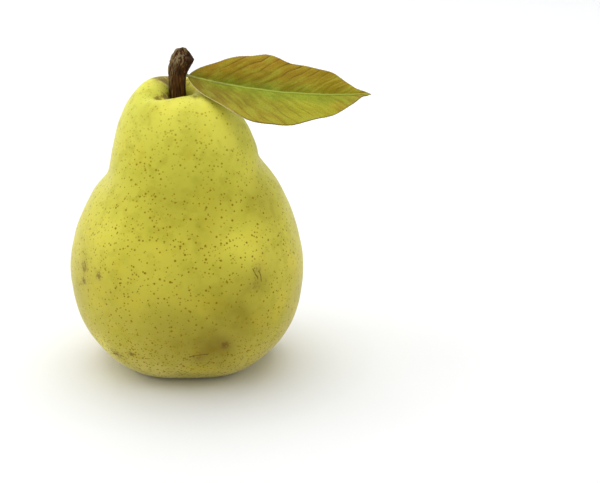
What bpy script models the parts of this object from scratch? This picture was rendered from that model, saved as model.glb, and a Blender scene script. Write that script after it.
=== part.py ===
"""A whole pear as picked: the fruit, its woody stem, one leaf and the dried calyx underneath.

Metres, +Z up. The fruit stands on the flattened rim round its calyx basin, at z = 0, and the
origin is under the middle of the whole object's box. +X is the side that the leaf reaches to.
"""

import math

import bmesh
import bpy
import numpy as np
from mathutils import Matrix, Vector

MM = 0.001

# Driving dimensions.
BODY_HEIGHT = 100 * MM  # base to the crest of the shoulders
BODY_RADIUS = 41 * MM  # at the belly
NECK_BEND = 2.2 * MM  # how far the shoulders lean towards -X
CAVITY_OFFSET = 1.4 * MM  # how far the stem cavity lies off the neck's middle, towards -X
WAIST_TILT = 0.06  # how far the waist is lower towards -X, for each unit of width
WAIST_PINCH = 0.078  # share of the radius that the waist is drawn in on its two sides, -X and +X
RIM_WAVE = 1.1 * MM  # rise and fall of the shoulder round the stem cavity
STEM_LENGTH = 22.8 * MM
STEM_RADIUS = 3.1 * MM  # at its narrowest
STEM_BEND = 3.2 * MM  # how far the stem's end bends towards +X
STEM_END_WIDTH = 0.78  # of the broken end, as a share of the stem's width just before it
LEAF_LENGTH = 61 * MM
LEAF_HALF_WIDTH = 13.8 * MM
LEAF_THICKNESS = 0.6 * MM
LEAF_SLOPE = math.radians(33)  # how steeply the blade falls from side to side, towards -Y
LEAF_DROP = 5.8 * MM  # how far its tip is below its base
LEAF_SAG = 2.6 * MM  # of the midrib below a straight line from base to tip
LEAF_FOLD = 0.10  # rise of each half from the midrib, for each unit of width
LEAF_CURL = 0.22  # the same, added near the leaf's base
LEAF_TIP_TAPER = 1.2  # above 1 draws the outline out towards both ends
LEAF_BASE_TAPER = 0.8  # below 1 puts the widest place nearer the base
LEAF_AT = 0.61  # share of the stem's length where the leaf joins it
LEAF_AZIMUTH = math.radians(-35)  # the side of the stem that it joins
PETIOLE_RADIUS = 0.8 * MM
PETIOLE_LENGTH = 1.2 * MM
MIDRIB_TAPER = 0.35  # share of its radius that the midrib loses by the leaf's tip
MIDRIB_REACH = 0.8  # share of the leaf's length that it runs along
CALYX_RADIUS = 3 * MM
CALYX_DEPTH = 1.8 * MM
CALYX_TAPER = 0.8  # its top's radius, against the basin's floor, as a share of CALYX_RADIUS
SEPALS = 5
SEPAL_LENGTH = 6 * MM
SEPAL_BASE = 0.55 * CALYX_RADIUS  # half its width at the cup
SEPAL_TIP = 0.13 * CALYX_RADIUS  # half its width at the point
SEPAL_FLARE = 0.55 * CALYX_RADIUS  # how far its point curls outwards
SEPAL_THICKNESS = 0.6 * MM
SEPAL_INSET = 0.85 * MM  # of its middle line from the cup's edge
SEPAL_TURN = math.radians(12)  # azimuth of the first one
GAP = 0.3 * MM  # between pieces that touch on the real fruit

# The fruit's outline from the stem cavity's floor, over the shoulder and down to the basin's
# floor: (share of BODY_RADIUS, share of BODY_HEIGHT).
OUTLINE = (
    (0.000, 0.885),  # floor of the stem cavity
    (0.120, 0.893),
    (0.190, 0.968),
    (0.280, 0.992),  # crest of the shoulder
    (0.400, 0.950),
    (0.520, 0.870),
    (0.610, 0.780),
    (0.708, 0.705),  # waist, where the neck meets the belly
    (0.820, 0.620),
    (0.950, 0.490),
    (1.000, 0.345),  # widest point of the belly
    (0.955, 0.195),
    (0.820, 0.085),
    (0.620, 0.020),
    (0.470, -0.003),  # under the floor, so the rim is flattened there
    (0.340, 0.012),
    (0.210, 0.060),
    (0.100, 0.090),
    (0.000, 0.095),  # floor of the calyx basin
)
CAVITY_FLOOR = OUTLINE[0][1]
RIM_SHARE = OUTLINE[3][0]
WAIST_HEIGHT = OUTLINE[7][1]
OUTLINE_STEPS = 3  # pieces between two of its points
TURN_STEPS = 56
STEM_STEPS = 12
LEAF_STEPS = 28  # along the leaf
LEAF_COLUMNS = 6  # across it
MIDRIB_STEPS = 12
CALYX_TOP = OUTLINE[-1][1] * BODY_HEIGHT - 2 * GAP  # the basin's floor, less the gap
LEAF_RISE = Vector((0, -math.sin(LEAF_SLOPE), math.cos(LEAF_SLOPE)))  # out of its upper face

# Swellings of the fruit: (lobes round it, share of the radius, azimuth of a crest in degrees,
# height share, spread of height share).
LOBES = (
    (5, 0.030, 20, 0.00, 0.16),
    (3, 0.012, 75, 0.30, 0.25),
    (4, 0.010, 50, 0.60, 0.16),
    (3, 0.030, 175, 0.95, 0.12),
)
WAIST_SPREAD = 0.055  # height share over which the pinch fades out
TILT_SPREAD = 0.12  # height share over which the waist's tilt fades out
RIM_LOBES = 3
RIM_CREST = math.radians(175)

# Swellings of the stem: (share of its radius, where along its length, spread).
STEM_SWELLINGS = (
    (0.10, 0.00, 0.12),  # foot
    (0.34, 0.86, 0.38),  # end, where it grew on the spur
)
LEAF_SHOULDER = (0.16, 0.74, 0.10)  # the same for the leaf's half width, before its drawn-out tip
CURL_AT = (0.12, 0.22)  # share of the leaf's length where it curls most, and spread

COLOURS = {
    "skin": ((0.56, 0.52, 0.06), 0.45),
    "bark": ((0.07, 0.035, 0.015), 0.85),
    "leaf": ((0.24, 0.22, 0.03), 0.5),
    "dried_sepal": ((0.14, 0.08, 0.04), 0.9),
}


def clear_scene():
    for obj in list(bpy.data.objects):
        bpy.data.objects.remove(obj, do_unlink=True)


def material(name):
    colour, roughness = COLOURS[name]
    made = bpy.data.materials.new(name)
    made.use_nodes = True
    surface = made.node_tree.nodes["Principled BSDF"]
    surface.inputs["Base Color"].default_value = (*colour, 1)
    surface.inputs["Roughness"].default_value = roughness
    surface.inputs["Metallic"].default_value = 0
    return made


def new_object(name, data, collection):
    obj = bpy.data.objects.new(name, data)
    collection.objects.link(obj)
    return obj


def evaluated_mesh(obj):
    """The object's mesh with its modifiers applied, with the caps of a curve welded."""
    bpy.context.view_layer.update()
    graph = bpy.context.evaluated_depsgraph_get()
    mesh = bpy.data.meshes.new_from_object(obj.evaluated_get(graph))
    bm = bmesh.new()
    bm.from_mesh(mesh)
    bmesh.ops.remove_doubles(bm, verts=bm.verts, dist=0.001 * MM)
    bm.to_mesh(mesh)
    bm.free()
    return mesh


def replace_with_mesh(obj, mesh):
    """Swaps a curve or a modified mesh for the plain mesh made from it, in the same place."""
    name = obj.name
    collection = obj.users_collection[0]
    world = obj.matrix_world.copy()
    bpy.data.objects.remove(obj, do_unlink=True)
    made = new_object(name, mesh, collection)
    made.matrix_world = world
    return made


def smooth_line(points, steps):
    """Points of a Catmull-Rom curve through the given ones, steps to each stretch."""
    points = [Vector(p) for p in points]
    ends = [2 * points[0] - points[1], *points, 2 * points[-1] - points[-2]]
    line = []
    for before, start, end, after in zip(ends, ends[1:], ends[2:], ends[3:]):
        for step in range(steps):
            t = step / steps
            leave = (end - before) / 2
            arrive = (after - start) / 2
            line.append(
                start * (2 * t**3 - 3 * t**2 + 1)
                + leave * (t**3 - 2 * t**2 + t)
                + end * (3 * t**2 - 2 * t**3)
                + arrive * (t**3 - t**2)
            )
    return [*line, points[-1]]


def bell(value, centre, spread):
    return math.exp(-(((value - centre) / spread) ** 2))


def lean(z):
    """Sideways place of the fruit's middle line at a height."""
    return -NECK_BEND * (z / BODY_HEIGHT) ** 4


def swollen(point):
    """A point of the turned body moved to the lobed, leaning fruit."""
    height = point.z / BODY_HEIGHT
    azimuth = math.atan2(point.y, point.x)
    swell = 1 + sum(
        share * math.cos(lobes * (azimuth - math.radians(crest))) * bell(height, at, spread)
        for lobes, share, crest, at, spread in LOBES
    )
    swell -= WAIST_PINCH * math.cos(azimuth) ** 4 * bell(height, WAIST_HEIGHT, WAIST_SPREAD)
    tilt = WAIST_TILT * point.x * bell(height, WAIST_HEIGHT, TILT_SPREAD)
    z = max(point.z + tilt, 0)
    x = point.x * swell + lean(z)
    across = math.hypot(point.x, point.y) / BODY_RADIUS
    if height >= CAVITY_FLOOR and across < RIM_SHARE * 2:
        x -= CAVITY_OFFSET * max(0, 1 - across / RIM_SHARE)
        wave = math.cos(RIM_LOBES * (azimuth - RIM_CREST))
        z += RIM_WAVE * wave * bell(across, RIM_SHARE, RIM_SHARE / 2)
    return Vector((x, point.y * swell, z))


def fruit(collection):
    """The flesh and skin, one solid: a turned body with lobes, a lean and a flattened foot."""
    outline = smooth_line([(x, 0, z) for x, z in OUTLINE], OUTLINE_STEPS)
    mesh = bpy.data.meshes.new("fruit")
    points = [(x * BODY_RADIUS, 0, z * BODY_HEIGHT) for x, _, z in outline]
    mesh.from_pydata(points, [(i, i + 1) for i in range(len(points) - 1)], [])
    obj = new_object("fruit", mesh, collection)
    turn = obj.modifiers.new("turn", "SCREW")
    turn.steps = TURN_STEPS
    turn.render_steps = TURN_STEPS
    turn.use_merge_vertices = True
    turn.merge_threshold = 0.1 * MM
    obj = replace_with_mesh(obj, evaluated_mesh(obj))
    for vertex in obj.data.vertices:
        vertex.co = swollen(vertex.co)
    obj.data.shade_smooth()
    return obj


def tube(name, points, radii, collection, resolution=3):
    """A capped round bar along a line of points, with a radius for each."""
    curve = bpy.data.curves.new(name, "CURVE")
    curve.dimensions = "3D"
    curve.bevel_depth = 1
    curve.bevel_resolution = resolution
    curve.use_fill_caps = True
    spline = curve.splines.new("POLY")
    spline.points.add(len(points) - 1)
    for spot, point, radius in zip(spline.points, points, radii):
        spot.co = (*point, 1)
        spot.radius = radius
    return new_object(name, curve, collection)


def stem_line(share):
    """A point of the stem's middle line, upright and then bending over near its end."""
    floor = CAVITY_FLOOR * BODY_HEIGHT
    x = lean(floor) - CAVITY_OFFSET + STEM_BEND * share**3
    return Vector((x, 0, floor + 2 * GAP + share * STEM_LENGTH))


def stem_radius(share):
    """Stout, a little wider at its foot, and swollen where it broke from the spur."""
    swell = sum(extra * bell(share, at, spread) for extra, at, spread in STEM_SWELLINGS)
    return STEM_RADIUS * (1 + swell)


def stem(collection):
    shares = [i / STEM_STEPS for i in range(STEM_STEPS + 1)]
    radii = [stem_radius(s) for s in shares]
    radii[-1] *= STEM_END_WIDTH
    points = [stem_line(s) for s in shares]
    obj = tube("stem", points, radii, collection)
    return replace_with_mesh(obj, evaluated_mesh(obj))


def leaf_half_width(share):
    """Half the blade's width: broad near the middle and drawn out to a point at the tip."""
    oval = max(0, math.sin(math.pi * share**LEAF_BASE_TAPER)) ** LEAF_TIP_TAPER
    extra, at, spread = LEAF_SHOULDER
    return LEAF_HALF_WIDTH * (oval + extra * bell(share, at, spread)) + LEAF_THICKNESS / 2


def leaf_joint(clearance):
    """A point beside the stem where the leaf joins it, that far from the bark."""
    reach = stem_radius(LEAF_AT) + clearance
    out = Vector((math.cos(LEAF_AZIMUTH), math.sin(LEAF_AZIMUTH), 0))
    return stem_line(LEAF_AT) + out * reach


def leaf_point(share, side):
    """A point of the blade: share from base to tip, and side from -1 at the lower edge to 1."""
    sag = LEAF_SAG * 4 * share * (1 - share)
    run = Vector((LEAF_LENGTH * share, 0, -LEAF_DROP * share - sag))
    half = leaf_half_width(share)
    fold = LEAF_FOLD + LEAF_CURL * bell(share, *CURL_AT)
    across = Vector((0, math.cos(LEAF_SLOPE), math.sin(LEAF_SLOPE)))
    return leaf_joint(PETIOLE_LENGTH) + run + half * (across * side + LEAF_RISE * fold * abs(side))


def leaf_blade(collection):
    bm = bmesh.new()
    bmesh.ops.create_grid(bm, x_segments=LEAF_STEPS, y_segments=LEAF_COLUMNS, size=1)
    for vertex in bm.verts:
        vertex.co = leaf_point((vertex.co.x + 1) / 2, vertex.co.y)
    mesh = bpy.data.meshes.new("leaf")
    bm.to_mesh(mesh)
    bm.free()
    obj = new_object("leaf", mesh, collection)
    wall = obj.modifiers.new("thickness", "SOLIDIFY")
    wall.thickness = LEAF_THICKNESS
    wall.offset = 0
    return obj


def leaf(collection, cutters):
    """The blade with its petiole and midrib, which grew as one piece.

    The midrib stands out under the blade and stays below its upper face.
    """
    shares = [MIDRIB_REACH * i / MIDRIB_STEPS for i in range(MIDRIB_STEPS + 1)]
    radii = [PETIOLE_RADIUS * (1 - MIDRIB_TAPER * share) for share in shares]
    under = [LEAF_RISE * (LEAF_THICKNESS / 3 - radius) for radius in radii]
    points = [leaf_point(share, 0) + drop for share, drop in zip(shares, under)]
    start = leaf_joint(GAP + PETIOLE_RADIUS / 2) + under[0]
    petiole = tube("petiole", [start, *points], [PETIOLE_RADIUS, *radii], cutters, 2)
    petiole = replace_with_mesh(petiole, evaluated_mesh(petiole))
    petiole.hide_render = True
    petiole.display_type = "WIRE"
    obj = leaf_blade(collection)
    join(obj, petiole)
    return obj


def join(obj, other):
    union = obj.modifiers.new("join " + other.name, "BOOLEAN")
    union.operation = "UNION"
    union.object = other


def sepal(number, cutters):
    """One dried sepal: a narrow pointed strip that hangs from the cup and curls outwards."""
    bm = bmesh.new()
    bmesh.ops.create_grid(bm, x_segments=6, y_segments=2, size=1)
    for vertex in bm.verts:
        share = (vertex.co.x + 1) / 2
        half = SEPAL_BASE + (SEPAL_TIP - SEPAL_BASE) * share
        out = CALYX_RADIUS - SEPAL_INSET + SEPAL_FLARE * share**2
        vertex.co = Vector((out, vertex.co.y * half, -SEPAL_LENGTH * share))
    mesh = bpy.data.meshes.new("sepal")
    bm.to_mesh(mesh)
    bm.free()
    obj = new_object(f"sepal_{number}", mesh, cutters)
    obj.rotation_euler.z = math.tau * number / SEPALS + SEPAL_TURN
    obj.location.z = CALYX_TOP - CALYX_DEPTH / 2
    obj.hide_render = True
    obj.display_type = "WIRE"
    wall = obj.modifiers.new("thickness", "SOLIDIFY")
    wall.thickness = SEPAL_THICKNESS
    wall.offset = 0
    return obj


def calyx(collection, cutters):
    """The flower's dried remains: a small cup in the basin's floor, with five sepals round it."""
    bm = bmesh.new()
    place = Matrix.Translation((0, 0, CALYX_TOP - CALYX_DEPTH / 2))
    bmesh.ops.create_cone(
        bm,
        cap_ends=True,
        segments=20,
        radius1=CALYX_RADIUS,
        radius2=CALYX_RADIUS * CALYX_TAPER,
        depth=CALYX_DEPTH,
        matrix=place,
    )
    mesh = bpy.data.meshes.new("calyx")
    bm.to_mesh(mesh)
    bm.free()
    obj = new_object("calyx", mesh, collection)
    for number in range(SEPALS):
        join(obj, sepal(number, cutters))
    return obj


def stand_on_origin(objects):
    """Moves everything so that the origin is under the middle of the whole object's box."""
    bpy.context.view_layer.update()
    graph = bpy.context.evaluated_depsgraph_get()
    corners = []
    for obj in objects:
        mesh = obj.evaluated_get(graph).to_mesh()
        corners += [obj.matrix_world @ vertex.co for vertex in mesh.vertices]
    spread = np.array(corners)
    middle = (spread.min(axis=0) + spread.max(axis=0)) / 2
    origin = bpy.data.objects.new("pear_origin", None)
    objects[0].users_collection[0].objects.link(origin)
    for obj in [o for o in bpy.data.objects if o.parent is None and o is not origin]:
        obj.parent = origin
    origin.location = (-middle[0], -middle[1], 0)


def main():
    clear_scene()
    parts = bpy.data.collections.new("pear")
    cutters = bpy.data.collections.new("joined_pieces")
    bpy.context.scene.collection.children.link(parts)
    bpy.context.scene.collection.children.link(cutters)
    made = {
        "skin": fruit(parts),
        "bark": stem(parts),
        "leaf": leaf(parts, cutters),
        "dried_sepal": calyx(parts, cutters),
    }
    for finish, obj in made.items():
        obj.data.materials.clear()
        obj.data.materials.append(material(finish))
    stand_on_origin(list(made.values()))


main()
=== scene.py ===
import math

import bmesh
import bpy
import numpy
from mathutils import Matrix, Vector, noise


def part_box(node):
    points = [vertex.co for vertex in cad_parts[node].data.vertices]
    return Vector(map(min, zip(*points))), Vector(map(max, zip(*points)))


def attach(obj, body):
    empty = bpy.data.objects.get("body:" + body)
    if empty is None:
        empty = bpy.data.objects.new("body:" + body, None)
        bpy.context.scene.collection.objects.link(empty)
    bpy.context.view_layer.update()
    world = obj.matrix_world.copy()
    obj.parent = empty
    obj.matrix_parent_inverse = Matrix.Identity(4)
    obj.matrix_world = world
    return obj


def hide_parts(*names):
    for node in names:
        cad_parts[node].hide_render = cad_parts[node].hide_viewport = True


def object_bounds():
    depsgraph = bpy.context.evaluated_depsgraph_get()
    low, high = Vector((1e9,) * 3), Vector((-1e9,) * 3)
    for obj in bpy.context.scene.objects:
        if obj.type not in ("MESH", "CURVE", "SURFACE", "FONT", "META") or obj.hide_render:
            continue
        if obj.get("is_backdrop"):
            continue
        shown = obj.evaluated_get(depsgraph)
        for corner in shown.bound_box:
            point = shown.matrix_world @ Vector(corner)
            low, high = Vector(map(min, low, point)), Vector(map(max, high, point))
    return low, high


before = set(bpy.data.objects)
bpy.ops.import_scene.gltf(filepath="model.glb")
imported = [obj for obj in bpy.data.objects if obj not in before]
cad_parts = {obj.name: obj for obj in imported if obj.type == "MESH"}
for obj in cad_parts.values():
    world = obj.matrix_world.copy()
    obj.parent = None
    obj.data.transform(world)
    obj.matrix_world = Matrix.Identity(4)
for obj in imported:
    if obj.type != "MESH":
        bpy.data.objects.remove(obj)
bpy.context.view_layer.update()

# The view. A 105 mm lens about 0.63 m away looks down on the fruit at 20 degrees, so the belly
# and the shoulders both show, and the leaf passes in front of the right shoulder.
MM = 0.001
CORE_OFFSET = 0.38 * MM  # from the middle of the fruit's box to its core, because of its lobes
LENS = 105
DISTANCE = 617 * MM
LOOK_DOWN = math.radians(20)
AIM = Vector((39.5, 0, 43)) * MM  # what the lens points at, from the foot of the core

fruit_low, fruit_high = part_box("fruit")
fruit_middle = (fruit_low + fruit_high) / 2
core = Vector((fruit_middle.x + CORE_OFFSET, fruit_middle.y, 0))

lens = bpy.data.cameras.new("camera")
lens.lens = LENS
lens.clip_start = 10 * MM
lens.clip_end = 100
camera = bpy.data.objects.new("camera", lens)
bpy.context.scene.collection.objects.link(camera)
camera.location = core + AIM - DISTANCE * Vector((0, math.cos(LOOK_DOWN), -math.sin(LOOK_DOWN)))
camera.rotation_euler.x = math.pi / 2 - LOOK_DOWN
bpy.context.scene.camera = camera


# The fruit. Flesh and skin grew as one piece from the blossom end up: five soft lobes round the
# basin below, a waist drawn in on two sides, and shoulders crowded round the stem. The skin is a
# waxy film over pale flesh, yellow-green, with brown breathing dots.
BODY_RADIUS = (fruit_high.y - fruit_low.y) / 2
RIM_TILT = 1.1 * MM  # rise of the rim round the stem cavity at its highest, and fall at its lowest
RIM_AZIMUTH = math.radians(125)  # where it is highest
CREST = 0.992  # height share of the shoulder's crest
BODY_HEIGHT = (fruit_high.z - RIM_TILT) / CREST
NECK_BEND = 2.2 * MM  # how far the shoulders lean towards -X
CAVITY_OFFSET = 1.4 * MM  # how far the stem cavity lies off the neck's middle, towards -X
WAIST_PINCH = 0.078  # share of the radius that the waist is drawn in on its two sides
WAIST_SPREAD = 0.055  # of the height, above and below the waist's middle
WAIST_TILT = 0.06  # how far the waist is lower towards -X, for each unit of width
WAIST_TILT_SPREAD = 0.12
GRAIN = 0.75 * MM  # between two points of the finished surface
TURN_STEPS = 300

# From the floor of the stem cavity over the shoulder to the floor of the basin: (share of the
# radius, share of the height).
FRUIT_OUTLINE = (
    (0.000, 0.885),
    (0.088, 0.888),
    (0.110, 0.930),
    (0.132, 0.964),
    (0.170, 0.984),
    (0.235, CREST),
    (0.330, 0.978),
    (0.425, 0.940),
    (0.520, 0.870),
    (0.610, 0.780),
    (0.708, 0.705),
    (0.820, 0.620),
    (0.950, 0.490),
    (1.000, 0.345),
    (0.952, 0.195),
    (0.822, 0.085),
    (0.625, 0.016),
    (0.465, -0.003),
    (0.340, 0.012),
    (0.210, 0.060),
    (0.100, 0.090),
    (0.000, 0.095),
)
CAVITY_FLOOR = FRUIT_OUTLINE[0][1]
RIM_SHARE = FRUIT_OUTLINE[5][0]
WAIST_HEIGHT = FRUIT_OUTLINE[10][1]

# (lobes round the fruit, share of the radius, azimuth of a crest in degrees, height share,
# spread of height share)
LOBES = (
    (5, 0.030, 20, 0.00, 0.16),
    (3, 0.012, 75, 0.30, 0.25),
    (4, 0.010, 50, 0.60, 0.16),
    (3, 0.030, 175, 0.95, 0.12),
)

# Swellings and dents that each came about by chance: (place from the foot of the core, spread,
# rise), in mm.
LUMPS = (
    ((-4.5, -7.0, 97.0), 2.5, -1.8),  # the furrow that leads into the stem cavity
    ((-8.0, -7.5, 98.0), 2.5, -2.2),
    ((-11.5, -7.5, 98.5), 2.5, -1.0),
    ((-5.0, -12.0, 97.5), 4.0, -0.5),
    ((4.5, -9.5, 98.0), 2.0, -0.5),
    ((-9.5, 0.5, 97.0), 4.5, 2.8),  # the lobe that crowds the stem
    ((-8.0, 5.5, 96.5), 4.0, 1.5),
    ((-7.0, -1.5, 95.0), 2.5, 1.0),
    ((12.0, -13.0, 91.0), 9.0, 1.4),  # the near shoulder
    ((24.0, -2.0, 87.0), 6.5, 1.6),
    ((25.5, 0.0, 78.0), 5.0, 0.3),
    ((-10.5, -22.5, 78.0), 8.0, -1.0),
    ((4.0, -23.5, 81.0), 9.0, 0.5),
    ((-1.0, -32.0, 63.0), 13.0, -1.3),  # the waist, in front
    ((18.5, -28.0, 63.0), 8.0, -1.5),
    ((20.5, -34.5, 46.5), 8.5, 1.7),  # a ledge above the belly
    ((-24.0, -30.0, 51.0), 11.0, 0.8),
    ((-7.0, -38.5, 40.0), 15.0, 0.8),
    ((11.0, -39.0, 18.0), 10.0, -1.3),
    ((-29.0, 0.0, 69.0), 5.0, 0.4),
    ((-33.0, 0.0, 56.0), 6.0, -0.5),
    ((27.0, 2.0, 70.0), 5.0, -0.4),
    ((11.0, 18.0, 85.0), 9.0, -0.9),
    ((-3.0, 36.0, 58.0), 12.0, 1.2),
    ((-14.0, 24.0, 72.0), 9.0, -1.0),
    ((15.0, 38.0, 40.0), 9.0, -0.8),
    ((-30.0, 24.0, 32.0), 11.0, 0.9),
    ((34.0, -18.0, 30.0), 12.0, 0.5),
)
RIPPLES = ((14 * MM, 0.30 * MM), (5 * MM, 0.07 * MM))  # (size, rise) of the skin's own unevenness
FLAT_ZONE = 4 * MM  # height over which all of these fade in, so that the foot stays flat


def bell(value, centre, spread):
    """1 at the centre, fading to 0 over the spread on both sides."""
    return math.exp(-(((value - centre) / spread) ** 2))


def smooth_line(points, spacing):
    """A line through the given points, rounded between them (Catmull-Rom), about that spacing apart."""
    points = [Vector(p) for p in points]
    ends = [2 * points[0] - points[1], *points, 2 * points[-1] - points[-2]]
    line = []
    for before, start, end, after in zip(ends, ends[1:], ends[2:], ends[3:]):
        steps = max(1, round((end - start).length / spacing))
        for step in range(steps):
            t = step / steps
            leave = (end - before) / 2
            arrive = (after - start) / 2
            line.append(
                start * (2 * t**3 - 3 * t**2 + 1)
                + leave * (t**3 - 2 * t**2 + t)
                + end * (3 * t**2 - 2 * t**3)
                + arrive * (t**3 - t**2)
            )
    return [*line, points[-1]]


def turned(outline, steps):
    """A closed skin round +Z, spun from a line in the XZ plane that starts and ends on the axis."""
    bm = bmesh.new()
    spots = [bm.verts.new(point) for point in outline]
    edges = [bm.edges.new(pair) for pair in zip(spots, spots[1:])]
    bmesh.ops.spin(
        bm,
        geom=spots + edges,
        cent=(0, 0, 0),
        axis=(0, 0, 1),
        angle=math.tau,
        steps=steps,
        use_merge=True,
    )
    bmesh.ops.remove_doubles(bm, verts=bm.verts, dist=0.001 * MM)
    bmesh.ops.recalc_face_normals(bm, faces=bm.faces)
    return bm


def finished(name, bm, *materials):
    """The object for a piece: smooth shaded, at the origin, with its place in its mesh."""
    mesh = bpy.data.meshes.new(name)
    bm.to_mesh(mesh)
    bm.free()
    mesh.shade_smooth()
    for material in materials:
        mesh.materials.append(material)
    piece = bpy.data.objects.new(name, mesh)
    bpy.context.scene.collection.objects.link(piece)
    return piece


def lean(z):
    """Sideways place of the fruit's middle line at a height."""
    return -NECK_BEND * (z / BODY_HEIGHT) ** 4


def swollen(point):
    """A point of the turned body moved to the lobed, leaning fruit."""
    height = point.z / BODY_HEIGHT
    azimuth = math.atan2(point.y, point.x)
    swell = 1 + sum(
        share * math.cos(lobes * (azimuth - math.radians(crest))) * bell(height, at, spread)
        for lobes, share, crest, at, spread in LOBES
    )
    swell -= WAIST_PINCH * math.cos(azimuth) ** 4 * bell(height, WAIST_HEIGHT, WAIST_SPREAD)
    z = max(point.z + WAIST_TILT * point.x * bell(height, WAIST_HEIGHT, WAIST_TILT_SPREAD), 0)
    x = point.x * swell + lean(z)
    across = math.hypot(point.x, point.y) / BODY_RADIUS
    if height >= CAVITY_FLOOR and across < RIM_SHARE * 2:
        x -= CAVITY_OFFSET * max(0, 1 - across / RIM_SHARE)
        z += RIM_TILT * math.cos(azimuth - RIM_AZIMUTH) * bell(across, RIM_SHARE, RIM_SHARE / 2)
    return Vector((x, point.y * swell, z))


outline = smooth_line([(x * BODY_RADIUS, 0, z * BODY_HEIGHT) for x, z in FRUIT_OUTLINE], GRAIN)
fruit = turned(outline, TURN_STEPS)
for vertex in fruit.verts:
    vertex.co = swollen(vertex.co)
fruit.normal_update()
spots = numpy.array([vertex.co for vertex in fruit.verts])


def near(place, spread):
    """How near each point of the fruit is to a place, given in mm: 1 there, fading over the spread."""
    away = numpy.linalg.norm(spots - numpy.array(place) * MM, axis=1)
    return numpy.exp(-((away / (spread * MM)) ** 2))


rises = sum(rise * MM * near(place, spread) for place, spread, rise in LUMPS)
for vertex, rise in zip(fruit.verts, rises):
    rise += sum(height * noise.noise(vertex.co / size) for size, height in RIPPLES)
    vertex.co += vertex.normal * rise * min(1, vertex.co.z / FLAT_ZONE)
spots = numpy.array([vertex.co for vertex in fruit.verts])

# Where the skin is rough and corky; where it is painted darker olive-brown, which is mostly painted shade
# (the shadow of a neighbouring fruit on the lower front, shade at the waist and beside the stem's foot)
# with some browning of the skin's own; and where light is painted on as a lighter gold: (place from the
# foot of the core, spread, strength), in mm.
CORKY = (
    ((-6.0, 8.0, 99.0), 5.0, 1.0),  # the far rim of the stem cavity
    ((-10.0, 9.0, 100.0), 4.5, 0.9),
    ((1.0, 8.5, 98.0), 4.0, 0.7),
    ((-7.5, 3.5, 101.0), 3.5, 1.0),
    ((-6.0, -5.0, 97.0), 2.4, 1.0),  # the furrow
    ((-8.5, -7.0, 97.0), 2.0, 0.7),
    ((-6.0, -1.0, 96.5), 1.6, 0.9),
    ((4.0, -8.0, 98.0), 1.4, 0.6),
    ((-3.0, 0.0, 89.0), 6.5, 0.8),  # the floor under the stem
    ((-34.0, -22.5, 42.0), 2.5, 0.7),
    ((-34.5, -23.0, 37.0), 2.0, 0.7),
    ((-28.5, -29.5, 41.5), 2.0, 0.7),
    ((-24.0, -28.0, 12.0), 3.0, 0.6),
    ((-18.0, -32.5, 14.0), 1.2, 0.9),
    ((14.0, -35.0, 18.5), 2.0, 0.9),
    ((25.0, -32.5, 45.0), 2.5, 0.5),
    ((24.0, -34.0, 40.0), 2.5, 0.5),
    ((5.0, -35.5, 14.5), 3.0, 0.5),
    ((30.0, 22.0, 28.0), 5.0, 0.6),
    ((-16.0, 36.0, 36.0), 4.0, 0.6),
    ((10.0, 22.0, 78.0), 4.0, 0.4),
    ((0.0, 0.0, 9.0), 14.0, 0.9),  # the basin under the fruit
)
# Painted shade with some browning of the skin's own: darker olive-brown over these places.
SHADE_AND_BROWNING = (
    ((9.0, -36.0, 19.5), 10.0, 0.95),
    ((1.0, -38.0, 24.0), 12.0, 0.55),
    ((17.0, -37.0, 29.0), 13.0, 0.60),
    ((22.0, -35.0, 41.0), 10.0, 0.60),
    ((4.0, -3.0, 94.0), 2.5, 0.60),
    ((-8.0, -40.0, 30.0), 8.0, 0.25),
    ((0.0, -39.0, 38.0), 16.0, 0.20),
    ((27.0, -17.0, 64.0), 9.0, 0.40),
    ((-34.0, -20.0, 38.0), 9.0, 0.30),
    ((-3.0, -30.0, 67.0), 9.0, 0.20),
    ((8.0, -32.0, 59.0), 8.0, 0.20),
    ((-17.0, -10.0, 93.0), 9.0, 0.15),
    ((-19.0, -36.0, 38.0), 12.0, 0.20),
    ((10.0, -28.0, 68.0), 9.0, 0.20),
    ((22.0, 32.0, 26.0), 16.0, 0.45),
    ((-20.0, 30.0, 50.0), 14.0, 0.30),
)
# Painted light, as a lighter gold: on the near shoulder where the leaf's shadow falls, on the neck's right
# flank, a painted highlight on the ledge above the belly, near the foot where the floor bounces light, and
# on the back.
PAINTED_LIGHT = (
    ((11.0, -13.0, 91.0), 9.0, 0.9),
    ((-4.0, -17.0, 94.0), 7.0, 0.6),
    ((22.0, -14.0, 75.0), 8.0, 0.4),
    ((-27.0, -22.0, 12.0), 6.0, 0.4),
    ((19.5, -32.5, 52.0), 9.0, 0.6),
    ((-8.0, -36.0, 46.0), 13.0, 0.3),
    ((-20.0, -28.0, 55.0), 9.0, 0.3),
    ((0.0, 34.0, 62.0), 12.0, 0.5),
    ((-22.0, 16.0, 80.0), 9.0, 0.4),
)
for name, places in (("corky", CORKY), ("shade_and_browning", SHADE_AND_BROWNING), ("painted_light", PAINTED_LIGHT)):
    layer = fruit.verts.layers.float.new(name)
    amounts = numpy.max([strength * near(place, spread) for place, spread, strength in places], axis=0)
    for vertex, amount in zip(fruit.verts, amounts):
        vertex[layer] = amount
bmesh.ops.translate(fruit, verts=fruit.verts, vec=core)


def linear(code):
    """The linear colour of an sRGB hex code."""
    shares = [int(code[i : i + 2], 16) / 255 for i in (1, 3, 5)]
    return (*[s / 12.92 if s <= 0.04045 else ((s + 0.055) / 1.055) ** 2.4 for s in shares], 1)


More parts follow.
